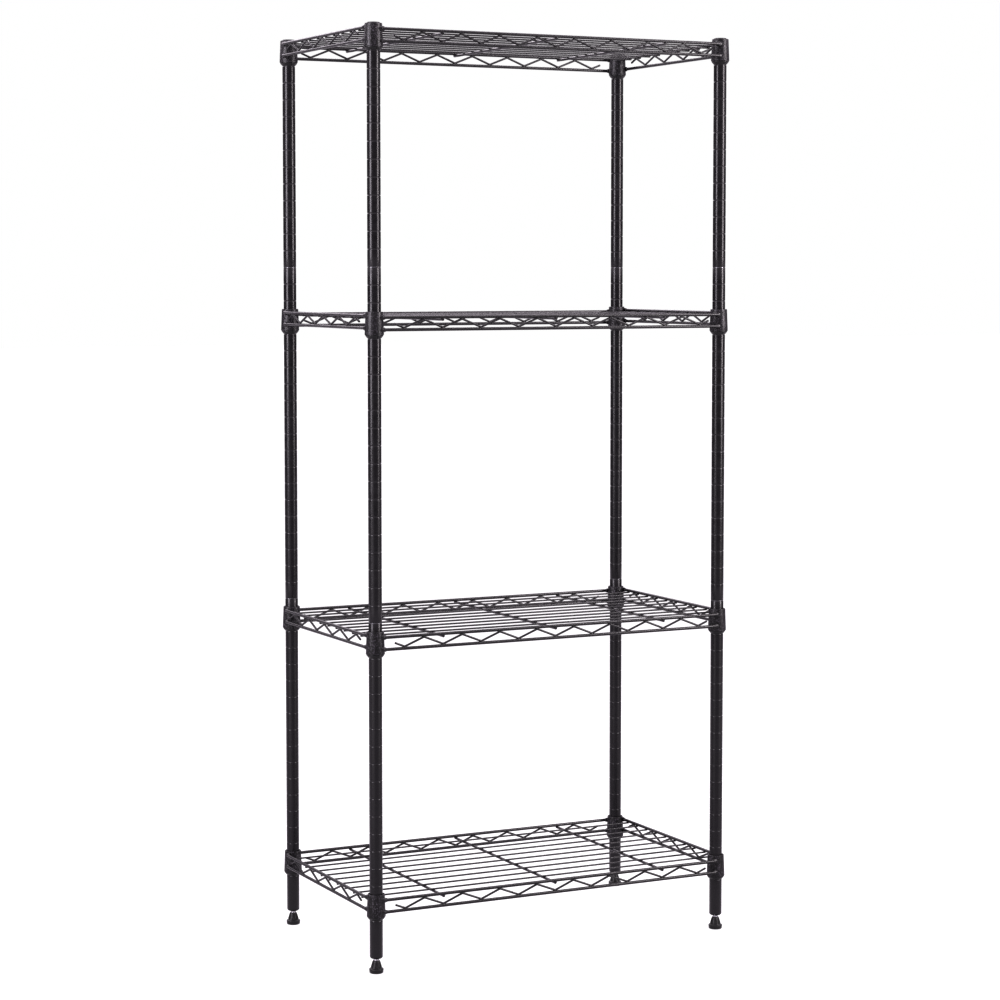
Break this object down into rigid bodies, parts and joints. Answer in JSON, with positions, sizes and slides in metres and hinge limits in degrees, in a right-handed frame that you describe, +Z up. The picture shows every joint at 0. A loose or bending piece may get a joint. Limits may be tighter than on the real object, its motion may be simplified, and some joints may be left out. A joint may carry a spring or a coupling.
{
  "type": "wire shelving rack",
  "caption": "Free-standing rack of welded wire shelves on grooved tube posts, with split clip sleeves under tapered collars and screw-in levelling feet.",
  "frame": {"origin": "centre of the four feet on the floor", "axes": "+Z up along the posts, X along the shelves, +Y from front to back"},
  "size_m": [0.6, 0.346, 1.362],
  "materials": {
    "post_coat": "satin black powder coat on steel tube",
    "wire_coat": "satin black powder coat on steel wire",
    "collar_coat": "fine textured black powder coat",
    "sleeve_plastic": "matte black moulded plastic",
    "cap_plastic": "satin black moulded plastic",
    "foot_plastic": "matte black moulded plastic",
    "bright_steel": "zinc-plated turned steel"
  },
  "bodies": {
    "posts": {"post_lower_front_left": "post_coat", "post_lower_front_right": "post_coat", "post_lower_back_left": "post_coat", "post_lower_back_right": "post_coat", "post_middle_front_left": "post_coat", "post_middle_front_right": "post_coat", "post_middle_back_left": "post_coat", "post_middle_back_right": "post_coat", "post_upper_front_left": "post_coat", "post_upper_front_right": "post_coat", "post_upper_back_left": "post_coat", "post_upper_back_right": "post_coat", "joiners_front_left": "bright_steel", "joiners_front_right": "bright_steel", "joiners_back_left": "bright_steel", "joiners_back_right": "bright_steel", "cap_front_left": "cap_plastic", "cap_front_right": "cap_plastic", "cap_back_left": "cap_plastic", "cap_back_right": "cap_plastic", "foot_insert_front_left": "foot_plastic", "foot_insert_front_right": "foot_plastic", "foot_insert_back_left": "foot_plastic", "foot_insert_back_right": "foot_plastic", "shelf_1_sleeves_inner": "sleeve_plastic", "shelf_1_sleeves_outer": "sleeve_plastic", "shelf_2_sleeves_inner": "sleeve_plastic", "shelf_2_sleeves_outer": "sleeve_plastic", "shelf_3_sleeves_inner": "sleeve_plastic", "shelf_3_sleeves_outer": "sleeve_plastic", "shelf_4_sleeves_inner": "sleeve_plastic", "shelf_4_sleeves_outer": "sleeve_plastic"},
    "shelf_1": {"shelf_1_collars": "collar_coat", "shelf_1_rim_wires": "wire_coat", "shelf_1_truss_wires": "wire_coat", "shelf_1_deck_wires": "wire_coat", "shelf_1_cross_wires": "wire_coat"},
    "shelf_2": {"shelf_2_collars": "collar_coat", "shelf_2_rim_wires": "wire_coat", "shelf_2_truss_wires": "wire_coat", "shelf_2_deck_wires": "wire_coat", "shelf_2_cross_wires": "wire_coat"},
    "shelf_3": {"shelf_3_collars": "collar_coat", "shelf_3_rim_wires": "wire_coat", "shelf_3_truss_wires": "wire_coat", "shelf_3_deck_wires": "wire_coat", "shelf_3_cross_wires": "wire_coat"},
    "shelf_4": {"shelf_4_collars": "collar_coat", "shelf_4_rim_wires": "wire_coat", "shelf_4_truss_wires": "wire_coat", "shelf_4_deck_wires": "wire_coat", "shelf_4_cross_wires": "wire_coat"},
    "stud_front_left": {"foot_stud_front_left": "bright_steel"},
    "foot_front_left": {"foot_pad_front_left": "foot_plastic"},
    "stud_front_right": {"foot_stud_front_right": "bright_steel"},
    "foot_front_right": {"foot_pad_front_right": "foot_plastic"},
    "stud_back_left": {"foot_stud_back_left": "bright_steel"},
    "foot_back_left": {"foot_pad_back_left": "foot_plastic"},
    "stud_back_right": {"foot_stud_back_right": "bright_steel"},
    "foot_back_right": {"foot_pad_back_right": "foot_plastic"}
  },
  "joints": [
    {"name": "shelf_1_lift", "type": "slide", "parent": "posts", "child": "shelf_1", "axis": [0, 0, 1], "range_m": [0, 0.34]},
    {"name": "shelf_2_lift", "type": "slide", "parent": "posts", "child": "shelf_2", "axis": [0, 0, 1], "range_m": [0, 0.41]},
    {"name": "shelf_3_lift", "type": "slide", "parent": "posts", "child": "shelf_3", "axis": [0, 0, 1], "range_m": [0, 0.36]},
    {"name": "shelf_4_lift", "type": "slide", "parent": "posts", "child": "shelf_4", "axis": [0, 0, 1], "range_m": [0, 0.06]},
    {"name": "foot_front_left_travel", "type": "slide", "parent": "posts", "child": "stud_front_left", "axis": [0, 0, -1], "range_m": [0, 0.01]},
    {"name": "foot_front_left_turn", "type": "hinge", "parent": "stud_front_left", "child": "foot_front_left", "pos_m": [-0.28575, -0.15875, 0.01], "axis": [0, 0, -1], "range_deg": [0, 2880]},
    {"name": "foot_front_right_travel", "type": "slide", "parent": "posts", "child": "stud_front_right", "axis": [0, 0, -1], "range_m": [0, 0.01]},
    {"name": "foot_front_right_turn", "type": "hinge", "parent": "stud_front_right", "child": "foot_front_right", "pos_m": [0.28575, -0.15875, 0.01], "axis": [0, 0, -1], "range_deg": [0, 2880]},
    {"name": "foot_back_left_travel", "type": "slide", "parent": "posts", "child": "stud_back_left", "axis": [0, 0, -1], "range_m": [0, 0.01]},
    {"name": "foot_back_left_turn", "type": "hinge", "parent": "stud_back_left", "child": "foot_back_left", "pos_m": [-0.28575, 0.15875, 0.01], "axis": [0, 0, -1], "range_deg": [0, 2880]},
    {"name": "foot_back_right_travel", "type": "slide", "parent": "posts", "child": "stud_back_right", "axis": [0, 0, -1], "range_m": [0, 0.01]},
    {"name": "foot_back_right_turn", "type": "hinge", "parent": "stud_back_right", "child": "foot_back_right", "pos_m": [0.28575, 0.15875, 0.01], "axis": [0, 0, -1], "range_deg": [0, 2880]}
  ],
  "couplings": [
    {"joint": "foot_front_left_turn", "follows": "foot_front_left_travel", "rad_per_m": 5026.5},
    {"joint": "foot_front_right_turn", "follows": "foot_front_right_travel", "rad_per_m": 5026.5},
    {"joint": "foot_back_left_turn", "follows": "foot_back_left_travel", "rad_per_m": 5026.5},
    {"joint": "foot_back_right_turn", "follows": "foot_back_right_travel", "rad_per_m": 5026.5}
  ]
}
